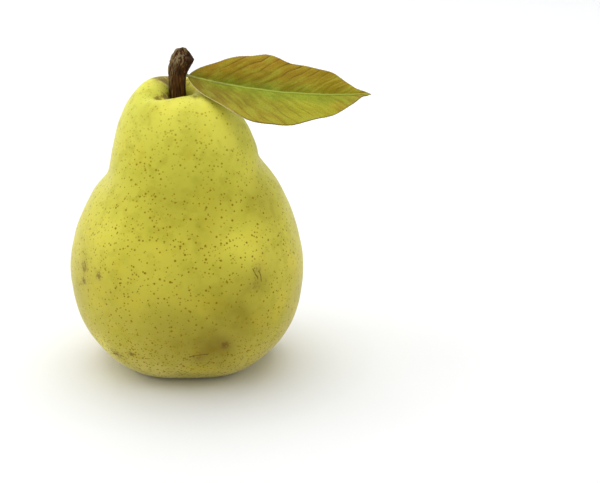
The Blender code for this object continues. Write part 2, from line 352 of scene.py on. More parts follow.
def add(tree, kind, inputs=None, stops=None, **settings):
    """Adds a shader node and gives back its outputs. inputs maps a socket to its value, or to the
    output that feeds it. A socket goes by its name, or by its number where names repeat. Math: 0 to 2
    are its values. Map Range: 0 is the value, 1 where the result is 0, 2 where it is full, and 4 what
    it then is, 1 if not given. Mix: 0 is the amount, 6 the colour under it and 7 the colour over it.
    stops are a ramp's places and colours."""
    made = tree.nodes.new("ShaderNode" + kind)
    for name, value in settings.items():
        setattr(made, name, value)
    for name, value in (inputs or {}).items():
        if isinstance(value, bpy.types.NodeSocket):
            tree.links.new(value, made.inputs[name])
        else:
            made.inputs[name].default_value = value
    if stops:
        ramp = made.color_ramp.elements
        for place, code in stops[len(ramp) :]:
            ramp.new(place)
        for stop, (place, code) in zip(ramp, stops):
            stop.position = place
            stop.color = linear(code)
    return made.outputs


SOFT = {"interpolation_type": "SMOOTHSTEP"}  # for a Map Range that starts and ends gently


def plain_material(name):
    """A new material: its node tree and its shader."""
    made = bpy.data.materials.new(name)
    made.use_nodes = True
    return made, made.node_tree, made.node_tree.nodes["Principled BSDF"]


# Waxy pear skin: a thin cuticle over moist flesh, so light goes a few millimetres in and the
# gloss is broad and soft. It is yellower above and olive below, partly its own colour and partly painted
# shade low down, with corky dots where it breathes.
skin, tree, shader = plain_material("waxy_pear_skin")
place = add(tree, "TexCoord")["Object"]
local = add(tree, "Mapping", {"Vector": place, "Location": tuple(-core)})[0]
height = add(tree, "SeparateXYZ", {0: local})["Z"]
share = add(tree, "Math", {0: height, 1: 1 / BODY_HEIGHT}, operation="MULTIPLY")[0]
patches = add(tree, "TexNoise", {"Vector": local, "Scale": 1 / (16 * MM), "Detail": 2.0})[0]
patches = add(tree, "Math", {0: patches, 1: 0.5}, operation="SUBTRACT")[0]
height_tone = add(tree, "Math", {0: patches, 1: 0.25, 2: share}, operation="MULTIPLY_ADD")[0]
colour = add(
    tree,
    "ValToRGB",
    {"Fac": height_tone},
    stops=(
        # The lowest stop is paler than the next: painted light, as if bounced up from the floor onto the
        # foot.
        (0.00, "#d0c364"),
        (0.12, "#c0b34a"),
        (0.26, "#beb240"),
        (0.40, "#ccc242"),
        (0.54, "#d1c844"),
        (0.72, "#ccc744"),
        (0.86, "#d9d44c"),
        (1.00, "#dfde56"),
    ),
)[0]

# Blotches some millimetres across, some greener and some more golden: (size, colour, where in the
# noise they start, strength).
BLOTCHES = (
    (9 * MM, "#b4b02c", 0.50, 0.4),
    (4 * MM, "#b0a628", 0.48, 0.4),
    (11 * MM, "#dcc838", 0.50, 0.4),
)
BLOTCH_BLEND = 0.22  # from where a blotch starts to where it is full
for size, code, low, strength in BLOTCHES:
    blotch = add(tree, "TexNoise", {"Vector": local, "Scale": 1 / size, "Detail": 3.0})[0]
    amount = add(tree, "MapRange", {0: blotch, 1: low, 2: low + BLOTCH_BLEND, 4: strength}, **SOFT)[0]
    colour = add(tree, "Mix", {0: amount, 6: colour, 7: linear(code)}, data_type="RGBA")[2]
# Painted shade with some browning: the skin darkens to olive-brown over these places, broken up by noise.
shade_and_browning = add(tree, "Attribute", attribute_name="shade_and_browning")["Fac"]
patchiness = add(tree, "TexNoise", {"Vector": local, "Scale": 1 / (9 * MM), "Detail": 4.0})[0]
patchiness = add(tree, "Math", {0: patchiness, 1: 1.2, 2: 0.2}, operation="MULTIPLY_ADD")[0]
shade_and_browning = add(tree, "Math", {0: shade_and_browning, 1: patchiness}, operation="MULTIPLY")[0]
colour = add(tree, "Mix", {0: shade_and_browning, 6: colour, 7: linear("#7a6710")}, data_type="RGBA")[2]
# Painted light: the skin turns a light gold over these places.
painted_light = add(tree, "Attribute", attribute_name="painted_light")["Fac"]
colour = add(tree, "Mix", {0: painted_light, 6: colour, 7: linear("#f2ea5a")}, data_type="RGBA")[2]

# Breathing dots: (spacing, radius, share of the radius that is solid brown, strength). They are
# the cells of a pattern that fills space, so where the skin cuts them they come out in mixed
# sizes, as real ones do. The last layer is only round the base, and all are paler higher up.
DOT_LAYERS = (
    (1.70 * MM, 0.64 * MM, 0.25, 1.0),
    (1.35 * MM, 0.50 * MM, 0.25, 0.9),
    (1.15 * MM, 0.58 * MM, 0.35, 1.0),
)
SMALLEST_DOT = 0.4  # share of its layer's radius
LAYER_SHIFT = 31 * MM  # from one layer's pattern to the next one's, so that their dots don't line up
base_zone = add(tree, "MapRange", {0: height, 1: 27 * MM, 2: 14 * MM}, **SOFT)[0]
dots = 0.0
for number, (spacing, radius, solid, strength) in enumerate(DOT_LAYERS):
    shifted = add(tree, "Mapping", {"Vector": local, "Location": (number * LAYER_SHIFT, 0, 0)})[0]
    cells = add(tree, "TexVoronoi", {"Vector": shifted, "Scale": 1 / spacing}, feature="F1")
    chance = add(tree, "SeparateXYZ", {0: cells["Color"]})["X"]
    least = SMALLEST_DOT * radius / spacing
    more = radius / spacing - least
    reach = add(tree, "Math", {0: chance, 1: more, 2: least}, operation="MULTIPLY_ADD")[0]
    middle = add(tree, "Math", {0: reach, 1: solid}, operation="MULTIPLY")[0]
    spot = add(tree, "MapRange", {0: cells["Distance"], 1: reach, 2: middle, 4: strength}, **SOFT)[0]
    if number == len(DOT_LAYERS) - 1:
        spot = add(tree, "Math", {0: spot, 1: base_zone}, operation="MULTIPLY")[0]
    dots = add(tree, "Math", {0: dots, 1: spot}, operation="MAXIMUM")[0]
paler_above = add(tree, "MapRange", {0: height, 1: 150 * MM, 2: 50 * MM}, **SOFT)[0]
dots = add(tree, "Math", {0: dots, 1: paler_above}, operation="MULTIPLY")[0]
amount = add(tree, "Math", {0: dots, 1: 0.85}, operation="MULTIPLY")[0]
colour = add(tree, "Mix", {0: amount, 6: colour, 7: linear("#b09400")}, data_type="RGBA")[2]
middles = add(tree, "Math", {0: dots, 1: 2.0}, operation="POWER")[0]
amount = add(tree, "Math", {0: middles, 1: 0.8}, operation="MULTIPLY")[0]
colour = add(tree, "Mix", {0: amount, 6: colour, 7: linear("#7a5a00")}, data_type="RGBA")[2]

# Cork: a net of fine cracks and freckles that thickens towards the middle of each rough place.
corky = add(tree, "Attribute", attribute_name="corky")["Fac"]
freckles = add(
    tree, "TexNoise", {"Vector": local, "Scale": 1 / (1.1 * MM), "Detail": 4.0, "Roughness": 0.7}
)[0]
stained = add(tree, "Math", {0: corky, 1: 0.4}, operation="MULTIPLY")[0]
colour = add(tree, "Mix", {0: stained, 6: colour, 7: linear("#8a7430")}, data_type="RGBA")[2]
cork = add(tree, "Math", {0: corky, 1: 0.55, 2: freckles}, operation="MULTIPLY_ADD")[0]
cork = add(tree, "MapRange", {0: cork, 1: 0.66, 2: 0.92}, **SOFT)[0]
rough_place = add(tree, "MapRange", {0: corky, 1: 0.02, 2: 0.25}, **SOFT)[0]
cork = add(tree, "Math", {0: cork, 1: rough_place}, operation="MULTIPLY")[0]
cork_colour = add(
    tree, "ValToRGB", {"Fac": freckles}, stops=((0.35, "#5c4212"), (0.55, "#806522"), (0.7, "#9c8546"))
)[0]
cover = add(tree, "Math", {0: cork, 1: 0.85}, operation="MULTIPLY")[0]
colour = add(tree, "Mix", {0: cover, 6: colour, 7: cork_colour}, data_type="RGBA")[2]

# Healed scratches: (from, to, width), in mm. Each end is put on the nearest point of the skin, and
# the line between them wanders.
SCRATCHES = (
    ((2.5, -36.0, 14.5), (5.0, -36.0, 15.0), 0.18),
    ((5.0, -36.0, 15.0), (8.5, -35.5, 15.5), 0.20),
    ((6.5, -33.0, 10.0), (9.0, -33.5, 11.5), 0.15),
    ((23.5, -33.5, 46.0), (25.0, -33.0, 42.0), 0.20),
    ((25.0, -32.0, 44.0), (26.0, -32.0, 40.5), 0.18),
    ((-26.0, -24.5, 11.0), (-23.5, -27.5, 12.0), 0.18),
    ((-23.5, -27.5, 12.0), (-20.5, -30.0, 12.0), 0.20),
    ((-34.0, -22.5, 44.0), (-34.0, -23.0, 37.0), 0.15),
)
SCRATCH_SOLID = 0.4  # share of the width, from the middle line, that is fully dark
SCRATCH_END = 1.8  # share of it where nothing is left
SEARCH_SPREAD = 4  # mm; every spread finds the same nearest point
wander = add(tree, "TexNoise", {"Vector": local, "Scale": 1 / (3 * MM), "Detail": 3.0})["Color"]
wander = add(tree, "VectorMath", {0: wander, 1: (0.5, 0.5, 0.5)}, operation="SUBTRACT")[0]
wander = add(tree, "VectorMath", {0: wander, "Scale": 1.2 * MM}, operation="SCALE")[0]
wandering = add(tree, "VectorMath", {0: local, 1: wander}, operation="ADD")[0]
scratched = 0.0
for *ends, width in SCRATCHES:
    start, end = (Vector(spots[near(place, SEARCH_SPREAD).argmax()]) for place in ends)
    run = end - start
    offset = add(tree, "VectorMath", {0: wandering, 1: start}, operation="SUBTRACT")[0]
    along = add(tree, "VectorMath", {0: offset, 1: run}, operation="DOT_PRODUCT")["Value"]
    along = add(tree, "Math", {0: along, 1: run.length_squared}, operation="DIVIDE", use_clamp=True)
    foot = add(tree, "VectorMath", {0: run, "Scale": along[0]}, operation="SCALE")[0]
    away = add(tree, "VectorMath", {0: offset, 1: foot}, operation="DISTANCE")["Value"]
    gone, solid = SCRATCH_END * width * MM, SCRATCH_SOLID * width * MM
    scratch = add(tree, "MapRange", {0: away, 1: gone, 2: solid}, **SOFT)[0]
    scratched = add(tree, "Math", {0: scratched, 1: scratch}, operation="MAXIMUM")[0]
amount = add(tree, "Math", {0: scratched, 1: 0.75}, operation="MULTIPLY")[0]
colour = add(tree, "Mix", {0: amount, 6: colour, 7: linear("#5e4208")}, data_type="RGBA")[2]
tree.links.new(colour, shader.inputs["Base Color"])

# The skin's grain: a little duller where it is high, dull on cork, with the dots standing up.
grain = add(tree, "TexNoise", {"Vector": local, "Scale": 1 / (1.3 * MM), "Detail": 3.0})[0]
gloss = add(tree, "Math", {0: grain, 1: 0.16, 2: 0.34}, operation="MULTIPLY_ADD")[0]
gloss = add(tree, "Math", {0: cork, 1: 0.3, 2: gloss}, operation="MULTIPLY_ADD")[0]
tree.links.new(gloss, shader.inputs["Roughness"])
relief = add(tree, "Math", {0: dots, 1: 0.8, 2: grain}, operation="MULTIPLY_ADD")[0]
relief = add(tree, "Math", {0: relief, 1: cork}, operation="ADD")[0]
relief = add(tree, "Bump", {"Height": relief, "Strength": 0.5, "Distance": 0.06 * MM})[0]
tree.links.new(relief, shader.inputs["Normal"])
shader.inputs["IOR"].default_value = 1.40
shader.inputs["Specular IOR Level"].default_value = 0.12
shader.inputs["Sheen Weight"].default_value = 0.15
shader.inputs["Sheen Roughness"].default_value = 0.4
shader.inputs["Subsurface Weight"].default_value = 0.06
shader.inputs["Subsurface Radius"].default_value = (1.0, 0.8, 0.2)
shader.inputs["Subsurface Scale"].default_value = 2 * MM

whole_fruit = finished("whole_fruit", fruit, skin)
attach(whole_fruit, "root")
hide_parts("fruit")


# The stem. The woody stalk that the fruit hung from: a stout brown bar that thickens and bends
# towards the knuckle where it snapped off its spur. Its bark is ridged lengthwise, and the knuckle is
# torn into short ridges round a dark scar. It is greyer on the side towards -X, where the light comes
# from, partly bleached bark and partly painted light; the side towards +X gets painted shade.
stem_low, stem_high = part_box("stem")
STEM_FOOT = core + Vector((-2.4 * MM, 0, stem_low.z - 1.5 * MM))
KNUCKLE_HEIGHT = 3.6 * MM  # of the domed end above the bar
STEM_LENGTH = stem_high.z - STEM_FOOT.z - KNUCKLE_HEIGHT
# The bar's radius and its sideways bend towards +X, in mm, at shares of its length.
STEM_RADII = (
    (0.00, 3.40),
    (0.20, 3.05),
    (0.42, 2.95),
    (0.60, 2.90),
    (0.72, 3.15),
    (0.82, 3.45),
    (0.92, 3.70),
    (1.00, 3.80),
)
STEM_LEAN = ((0.00, 0.0), (0.60, 0.0), (0.74, 0.25), (0.86, 1.00), (1.00, 2.10))
STEM_SEGMENTS = 180
BARK_GRAIN = 0.15 * MM
END_TILT = 0.16  # slope of the knuckle's rim, down towards +X
SCAR_PLACE = Vector((0.35, -0.30))  # shares of the radius, like its spread
SCAR_SPREAD = 0.30
SCAR_DEPTH = 1.1 * MM
CAP_RINGS = 30
RIDGE_RISE = 0.06 * MM  # of the bark's ridges on the lee side
SUNNY_RISE = 0.28 * MM  # how much higher they are on the side that faced the sun
KNUCKLE_RISE = 0.30 * MM  # and how much higher on the knuckle
TWIST = 0.9  # how far the ridges wind to and fro, in radians
TWIST_RUN = 9 * MM
KNOTS = ((1.9, 1.3), (0.8, 0.8))  # (size in mm, height) of the lumps that tearing left
KNOT_REACH = 4  # mm that the lumps' pattern spans from the middle of the knuckle to its rim


def station_curve(stations):
    """A smooth curve through (share, value) stations, as the two lists that numpy.interp reads."""
    line = smooth_line([(share, 0, value) for share, value in stations], 0.02)
    return [p.x for p in line], [p.z for p in line]


def ridges(azimuth, z):
    """Height of the bark's lengthwise ridges, from about -1 to 1."""
    straight = Vector((math.cos(azimuth), math.sin(azimuth), 0))
    turn = azimuth + TWIST * math.sin(z / TWIST_RUN)
    twisted = Vector((math.cos(turn), math.sin(turn), 0))
    broad = noise.noise(twisted * 2.3 + Vector((0, 0, z / (8 * MM))))
    fine = noise.noise(twisted * 6.5 + Vector((0, 0, z / (3.5 * MM))))
    crack = noise.noise(straight * 4.2 + Vector((5, 0, z / (5 * MM))))
    return broad + 0.7 * fine - 0.9 * max(0, 0.2 - abs(crack)) / 0.2


bar_rings = round(STEM_LENGTH / BARK_GRAIN)
side_line = [(1, 0, i / bar_rings) for i in range(bar_rings + 1)]
cap_line = [(1 - i / CAP_RINGS, 0, 1 + i / CAP_RINGS) for i in range(1, CAP_RINGS + 1)]
stem = turned([(0, 0, 0), *side_line, *cap_line], STEM_SEGMENTS)
ridge_height = stem.verts.layers.float.new("ridge")
stem_radius = station_curve(STEM_RADII)
stem_lean = station_curve(STEM_LEAN)
for vertex in stem.verts:
    across = math.hypot(vertex.co.x, vertex.co.y)
    azimuth = math.atan2(vertex.co.y, vertex.co.x)
    share = min(vertex.co.z, 1)
    past_rim = vertex.co.z - share
    z = share * STEM_LENGTH
    out = Vector((math.cos(azimuth), math.sin(azimuth), 0))
    radius = numpy.interp(share, *stem_radius) * MM
    bend = numpy.interp(share, *stem_lean) * MM
    knuckle = bell(share, 1, 0.16)
    weathered = ((1 - math.cos(azimuth)) / 2) ** 1.5  # 1 towards the sun, 0 on the lee side
    knot = out * across * KNOT_REACH + Vector((0, 0, z / MM + KNOT_REACH * past_rim))
    knots = sum(rise * noise.noise(knot / size) for size, rise in KNOTS)
    ridge = ridges(azimuth, z) * (1 - 0.4 * knuckle) + 0.5 * knots * knuckle
    vertex[ridge_height] = ridge
    radius += (RIDGE_RISE + SUNNY_RISE * weathered + KNUCKLE_RISE * knuckle) * ridge
    spot = STEM_FOOT + Vector((bend, 0, z)) + out * radius * across
    spot.z -= END_TILT * radius * across * math.cos(azimuth) * bell(share, 1, 0.12)
    if past_rim > 0:
        dome = 1 - across**1.7
        crease = noise.noise(out * 3.4 + Vector((2, 0, 0.8 * across)))
        splinter = noise.noise(out * 8.0 + Vector((0, 7, 2.5 * across)))
        torn = ((0.5 * crease + 0.25 * splinter) * across * (1 - across) * 4 + 0.20 * knots) * MM
        away = (Vector((out.x, out.y)) * across - SCAR_PLACE).length
        spot.z += KNUCKLE_HEIGHT * dome + torn - SCAR_DEPTH * bell(away, 0, SCAR_SPREAD)
    vertex.co = spot
bmesh.ops.recalc_face_normals(stem, faces=stem.faces)

# Weathered bark: dry fibres, dull. The side towards +X is smooth and dark red-brown, darker still where
# painted shade lies on it; towards -X the ridges are grey-tan, partly bleached and partly painted light,
# and the cracks between them stay dark.
bark, tree, shader = plain_material("weathered_bark")
place = add(tree, "TexCoord")["Object"]
local = add(tree, "Mapping", {"Vector": place, "Location": tuple(-STEM_FOOT)})[0]
fibres = add(tree, "Mapping", {"Vector": local, "Scale": (1, 1, 0.14)})[0]
fibre = add(
    tree, "TexNoise", {"Vector": fibres, "Scale": 1 / (0.6 * MM), "Detail": 4.0, "Distortion": 0.4}
)[0]
colour = add(
    tree,
    "ValToRGB",
    {"Fac": fibre},
    stops=((0.30, "#241308"), (0.46, "#46290f"), (0.60, "#5e3b18"), (0.76, "#7b542b")),
)[0]
parts = add(tree, "SeparateXYZ", {0: local})

# The side towards -X and the top of the knuckle are the lit side. The side towards +X, below the knuckle,
# is darkened with painted shade.
lit_side = add(tree, "MapRange", {0: parts["X"], 1: 1.0 * MM, 2: -3.0 * MM}, **SOFT)[0]
aloft = add(tree, "MapRange", {0: parts["Z"], 1: 0.84 * STEM_LENGTH, 2: STEM_LENGTH}, **SOFT)[0]
lee = add(tree, "MapRange", {0: parts["X"], 1: 4.4 * MM, 2: 2.2 * MM}, **SOFT)[0]
aloft = add(tree, "Math", {0: aloft, 1: lee}, operation="MULTIPLY")[0]
aloft = add(tree, "Math", {0: aloft, 1: 0.95}, operation="MULTIPLY")[0]
lit_side = add(tree, "Math", {0: lit_side, 1: aloft}, operation="MAXIMUM")[0]
# Painted shade: a dark brown tint over the side towards +X, below the knuckle.
painted_shade = add(tree, "Math", {0: 1.0, 1: lit_side}, operation="SUBTRACT")[0]
shaded_side = add(tree, "MapRange", {0: parts["X"], 1: 1.2 * MM, 2: 3.6 * MM}, **SOFT)[0]
painted_shade = add(tree, "Math", {0: painted_shade, 1: shaded_side}, operation="MULTIPLY")[0]
amount = add(tree, "Math", {0: painted_shade, 1: 0.5}, operation="MULTIPLY")[0]
colour = add(tree, "Mix", {0: amount, 6: colour, 7: linear("#1e1006")}, data_type="RGBA")[2]

# Grey-tan only on the crests of the ridges on the lit side and where they are frayed, partly bleached
# fibres and partly painted light; and pale specks.
crests = add(tree, "Attribute", attribute_name="ridge")["Fac"]
crests = add(tree, "Math", {0: fibre, 1: 0.8, 2: crests}, operation="MULTIPLY_ADD")[0]
crests = add(tree, "MapRange", {0: crests, 1: 0.12, 2: 0.62}, **SOFT)[0]
splits = add(tree, "Mapping", {"Vector": local, "Scale": (1, 1, 0.25)})[0]
splits = add(tree, "TexNoise", {"Vector": splits, "Scale": 1 / (0.4 * MM), "Detail": 3.0})[0]
frayed = add(tree, "MapRange", {0: splits, 1: 0.34, 2: 0.55}, **SOFT)[0]
bleached_and_lit = add(tree, "Math", {0: lit_side, 1: crests}, operation="MULTIPLY")[0]
bleached_and_lit = add(tree, "Math", {0: bleached_and_lit, 1: frayed}, operation="MULTIPLY")[0]
amount = add(tree, "Math", {0: bleached_and_lit, 1: 0.8}, operation="MULTIPLY")[0]
colour = add(tree, "Mix", {0: amount, 6: colour, 7: linear("#9a8b63")}, data_type="RGBA")[2]
specks = add(tree, "TexVoronoi", {"Vector": local, "Scale": 1 / (2.2 * MM)})["Distance"]
amount = add(tree, "MapRange", {0: specks, 1: 0.12, 2: 0.05, 4: 0.7}, **SOFT)[0]
colour = add(tree, "Mix", {0: amount, 6: colour, 7: linear("#9a8058")}, data_type="RGBA")[2]
tree.links.new(colour, shader.inputs["Base Color"])
relief = add(tree, "Bump", {"Height": fibre, "Strength": 0.9, "Distance": 0.25 * MM})[0]
tree.links.new(relief, shader.inputs["Normal"])
shader.inputs["Roughness"].default_value = 0.7
shader.inputs["Specular IOR Level"].default_value = 0.12

woody_stem = finished("woody_stem", stem, bark)
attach(woody_stem, "root")
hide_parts("stem")


# The leaf. One stiff, leathery blade on a short stalk beside the stem, folded a little along its
# midrib, with side veins that sink into its upper face and very fine teeth round its edge.
LEAF_LENGTH = 62.4 * MM
LEAF_STEPS = (330, 110)  # of its mesh, along and across
LEAF_THICKNESS = 0.34 * MM
LEAF_SLOPE = math.radians(33)  # of the blade across its midrib, up towards +Y
LEAF_DROP = 6.3 * MM  # from its base to its tip
LEAF_SAG = 2.5 * MM  # of the midrib, under a straight line
LEAF_FOLD = 0.10  # rise of each half for each unit of its width
LEAF_CURL = 0.22  # how much more that is near the stalk
LEAF_BASE = core + Vector((1.4, -1.0, 103.4)) * MM
# Each half of the blade: its width at its widest, the share of the length where that is, and how
# full it is behind that place (two powers).
FAR_HALF = (14.5 * MM, 0.43, 1.3, 0.8)
NEAR_HALF = (17.0 * MM, 0.39, 1.6, 0.6)
TIP_FULLNESS = (2.0, 1.1)  # the same two powers in front of it, for both halves
# The slow waves in each edge: (rise, share of the length, spread).
FAR_WAVES = (
    (0.7 * MM, 0.42, 0.05),
    (-1.3 * MM, 0.55, 0.06),
    (1.0 * MM, 0.80, 0.05),
    (-0.7 * MM, 0.93, 0.04),
)
NEAR_WAVES = ((0.5 * MM, 0.80, 0.06), (-0.8 * MM, 0.95, 0.03))
RIB_WIDTH = 0.42 * MM  # half the pale midrib, at the leaf's base
RIB_TAPER = 0.5  # share of it lost on the way to the tip
VEIN_SPACING = 4.9 * MM  # at the leaf's base
VEIN_CROWDING = 1.6  # how many more veins there are for being closer near the tip
VEIN_WANDER = 0.22  # how far a side vein strays, as a share of the spacing
WANDER_SIZE = 4.5 * MM
FAR_LEAN = 1.25  # how far a side vein runs forward for each unit outward
NEAR_LEAN = 0.80
NEAR_LEAN_GROWTH = 0.5  # how much more that is at the tip than at the base
FAR_PUFF = 0.17 * MM  # how high the blade swells between two side veins
NEAR_PUFF = 0.10 * MM
VALLEY_DEPTH = 0.20 * MM  # of the groove along the midrib
VALLEY_SPREAD = 1.0 * MM
RIB_HEIGHT = 0.32 * MM  # of the midrib that stands in the groove
RIB_SPREAD = 0.30 * MM
EDGE_WAVE = 0.35 * MM  # how far the edges rise and fall
EDGE_WAVE_LENGTH = 15 * MM
FAR_WAVE_START = 0.8  # where in the wave each edge starts at the base, in radians
NEAR_WAVE_START = 2.6
TOOTH_SPACING = 1.0 * MM
TOOTH_DEPTH = 0.10 * MM
LEAF_BUCKLES = ((7 * MM, 0.30 * MM), (2.2 * MM, 0.12 * MM))  # (size, rise) of its unevenness
LEAF_ACROSS = Vector((0, math.cos(LEAF_SLOPE), math.sin(LEAF_SLOPE)))
LEAF_RISE = Vector((0, -math.sin(LEAF_SLOPE), math.cos(LEAF_SLOPE)))


def edge_width(share, half, waves):
    """How far one edge of the blade is from the midrib at a share of its length."""
    widest, at, *fullness = half
    away = (at - share) / at
    if share > at:
        away = (share - at) / (1 - at)
        fullness = TIP_FULLNESS
    first, second = fullness
    width = widest * (1 - away**first) ** second
    return max(0, width + sum(rise * bell(share, place, spread) for rise, place, spread in waves))


def midrib(share):
    """The leaf's middle line."""
    sag = LEAF_SAG * 4 * share * (1 - share)
    return LEAF_BASE + Vector((share * LEAF_LENGTH, 0, -LEAF_DROP * share - sag))


leaf = bmesh.new()
bmesh.ops.create_grid(leaf, x_segments=LEAF_STEPS[0], y_segments=LEAF_STEPS[1], size=1)
metric = leaf.loops.layers.uv.new("blade")
margin = leaf.verts.layers.float.new("margin")
vein = leaf.verts.layers.float.new("vein")
on_blade = {}
for vertex in leaf.verts:
    share = (vertex.co.x + 1) / 2
    side = vertex.co.y
    far = side > 0
    half = edge_width(share, FAR_HALF, FAR_WAVES) if far else edge_width(share, NEAR_HALF, NEAR_WAVES)
    x = share * LEAF_LENGTH
    ends = max(0, min(1, share / 0.08, (1 - share) / 0.05))  # 0 at the base and the tip
    tooth = (x / TOOTH_SPACING) % 1
    at_edge = max(0, (abs(side) - 0.9) / 0.1)
    y = side * half - math.copysign(TOOTH_DEPTH * tooth * at_edge * ends, side)
    width = abs(y)
    start = x - (FAR_LEAN if far else NEAR_LEAN + NEAR_LEAN_GROWTH * share) * width
    phase = start / VEIN_SPACING + VEIN_CROWDING * start * abs(start) / LEAF_LENGTH**2 + (0 if far else 0.5)
    phase += VEIN_WANDER * noise.noise(Vector((x, y, 0)) / WANDER_SIZE) * min(1, width / (3 * MM))
    vertex[vein] = phase
    between = abs(phase % 1 - 0.5) * 2  # 1 on a side vein, 0 midway to the next
    inside = min(1, width / (2.5 * MM), (half - width) / (2 * MM))
    puff = (FAR_PUFF if far else NEAR_PUFF) * (1 - between**3) * inside
    rib = RIB_HEIGHT * bell(width, 0, RIB_SPREAD) * ends
    valley = VALLEY_DEPTH * bell(width, 0, VALLEY_SPREAD) - rib
    turn = x / EDGE_WAVE_LENGTH * math.tau + (FAR_WAVE_START if far else NEAR_WAVE_START)
    wave = EDGE_WAVE * math.sin(turn) * side**2 * ends
    fold = LEAF_FOLD + LEAF_CURL * bell(share, 0.12, 0.22)
    buckle = sum(rise * noise.noise(Vector((x, y, 0)) / size) for size, rise in LEAF_BUCKLES)
    on_blade[vertex.index] = (x, y)
    vertex[margin] = abs(side)
    lift = width * fold + puff - valley + wave + buckle
    vertex.co = midrib(share) + LEAF_ACROSS * y + LEAF_RISE * lift
for face in leaf.faces:
    for loop in face.loops:
        loop[metric].uv = on_blade[loop.vert.index]


# The upper face: a thick cuticle, half glossy. Autumn has bronzed the far half and the edges, and
# green holds on along the midrib.
leaf_top, tree, shader = plain_material("leaf_upper_side")
blade = add(tree, "UVMap", uv_map="blade")[0]
parts = add(tree, "SeparateXYZ", {0: blade})
x, y = parts["X"], parts["Y"]
width = add(tree, "Math", {0: y}, operation="ABSOLUTE")[0]
near_side = add(tree, "MapRange", {0: y, 1: 0.4 * MM, 2: -0.4 * MM}, **SOFT)[0]
phase = add(tree, "Attribute", attribute_name="vein")["Fac"]
from_vein = add(tree, "Math", {0: phase, 1: 0.5}, operation="PINGPONG")[0]
mottle = add(tree, "TexNoise", {"Vector": blade, "Scale": 1 / (6 * MM), "Detail": 4.0})[0]
mottle = add(tree, "Math", {0: mottle, 1: 0.5}, operation="SUBTRACT")[0]

# The far half is green along the midrib and bronze out to the edge. A tint here and in the next
# two groups is (what it follows, where it starts, where it is full, strength, colour).
edge = add(tree, "Attribute", attribute_name="margin")["Fac"]
far_place = add(tree, "Math", {0: mottle, 1: 0.45, 2: edge}, operation="MULTIPLY_ADD")[0]
far_colour = add(
    tree,
    "ValToRGB",
    {"Fac": far_place},
    stops=((0.04, "#7d8a1c"), (0.24, "#8a8014"), (0.55, "#a3881e"), (1.0, "#b08c24")),
)[0]
along = add(tree, "Math", {0: x, 1: 1 / LEAF_LENGTH}, operation="MULTIPLY")[0]
along = add(tree, "Math", {0: mottle, 1: 0.3, 2: along}, operation="MULTIPLY_ADD")[0]
far_tints = (
    (along, 0.40, 0.75, 0.6, "#9c8a10"),
    (along, 0.20, 0.00, 0.4, "#8a6a12"),
)
for follows, start, full, strength, code in far_tints:
    amount = add(tree, "MapRange", {0: follows, 1: start, 2: full, 4: strength}, **SOFT)[0]
    far_colour = add(tree, "Mix", {0: amount, 6: far_colour, 7: linear(code)}, data_type="RGBA")[2]

# The near half stays yellow-green, bronze at the edge, greener at the midrib, rosy at the tip and
# brown at the stalk.
near_place = add(tree, "Math", {0: mottle, 1: 7 * MM, 2: width}, operation="MULTIPLY_ADD")[0]
rosy_place = add(tree, "Math", {0: mottle, 1: 8 * MM, 2: x}, operation="MULTIPLY_ADD")[0]
near_colour = add(
    tree,
    "ValToRGB",
    {"Fac": along},
    stops=(
        (0.05, "#7c6e12"),
        (0.22, "#90831c"),
        (0.45, "#a49e28"),
        (0.65, "#b2b02a"),
        (0.95, "#baa42e"),
    ),
)[0]
near_tints = (
    (near_place, 9 * MM, 15 * MM, 0.8, "#b3a32c"),
    (near_place, 7 * MM, 1.5 * MM, 0.7, "#829a1e"),
    (rosy_place, 48 * MM, 60 * MM, 0.7, "#9c7c1e"),
    (along, 0.26, 0.04, 0.8, "#84700e"),
)
for follows, start, full, strength, code in near_tints:
    amount = add(tree, "MapRange", {0: follows, 1: start, 2: full, 4: strength}, **SOFT)[0]
    near_colour = add(tree, "Mix", {0: amount, 6: near_colour, 7: linear(code)}, data_type="RGBA")[2]
colour = add(tree, "Mix", {0: near_side, 6: far_colour, 7: near_colour}, data_type="RGBA")[2]

# Streaks that run with the side veins, some brown and some pale.
outward = add(tree, "Math", {0: width, 1: 1 / (9 * MM)}, operation="MULTIPLY")[0]
run = add(tree, "CombineXYZ", {"X": phase, "Y": outward})[0]
streak = add(tree, "TexNoise", {"Vector": run, "Scale": 1.7, "Detail": 5.0})[0]
streak_tints = (
    (streak, 0.46, 0.62, 0.25, "#7c5c0c"),
    (streak, 0.52, 0.36, 0.40, "#a8b038"),
)
for follows, start, full, strength, code in streak_tints:
    amount = add(tree, "MapRange", {0: follows, 1: start, 2: full, 4: strength}, **SOFT)[0]
    colour = add(tree, "Mix", {0: amount, 6: colour, 7: linear(code)}, data_type="RGBA")[2]

# The side veins: dark thin lines, stronger away from the midrib and fainter on the near half, each
# with a painted highlight, a pale line along its crest, close to the midrib.
vein_line = add(tree, "MapRange", {0: from_vein, 1: 0.10, 2: 0.015}, **SOFT)[0]
strength = add(tree, "MapRange", {0: width, 1: 3 * MM, 2: 13 * MM}, **SOFT)[0]
strength = add(tree, "Math", {0: strength, 1: 0.5, 2: 0.3}, operation="MULTIPLY_ADD")[0]
fainter = add(tree, "Math", {0: near_side, 1: -0.5, 2: 1.0}, operation="MULTIPLY_ADD")[0]
strength = add(tree, "Math", {0: strength, 1: fainter}, operation="MULTIPLY")[0]
uneven = add(tree, "MapRange", {0: streak, 1: 0.30, 2: 0.70, 4: 1.2}, **SOFT)[0]
strength = add(tree, "Math", {0: strength, 1: uneven}, operation="MULTIPLY")[0]
amount = add(tree, "Math", {0: vein_line, 1: strength}, operation="MULTIPLY")[0]
colour = add(tree, "Mix", {0: amount, 6: colour, 7: linear("#48400a")}, data_type="RGBA")[2]
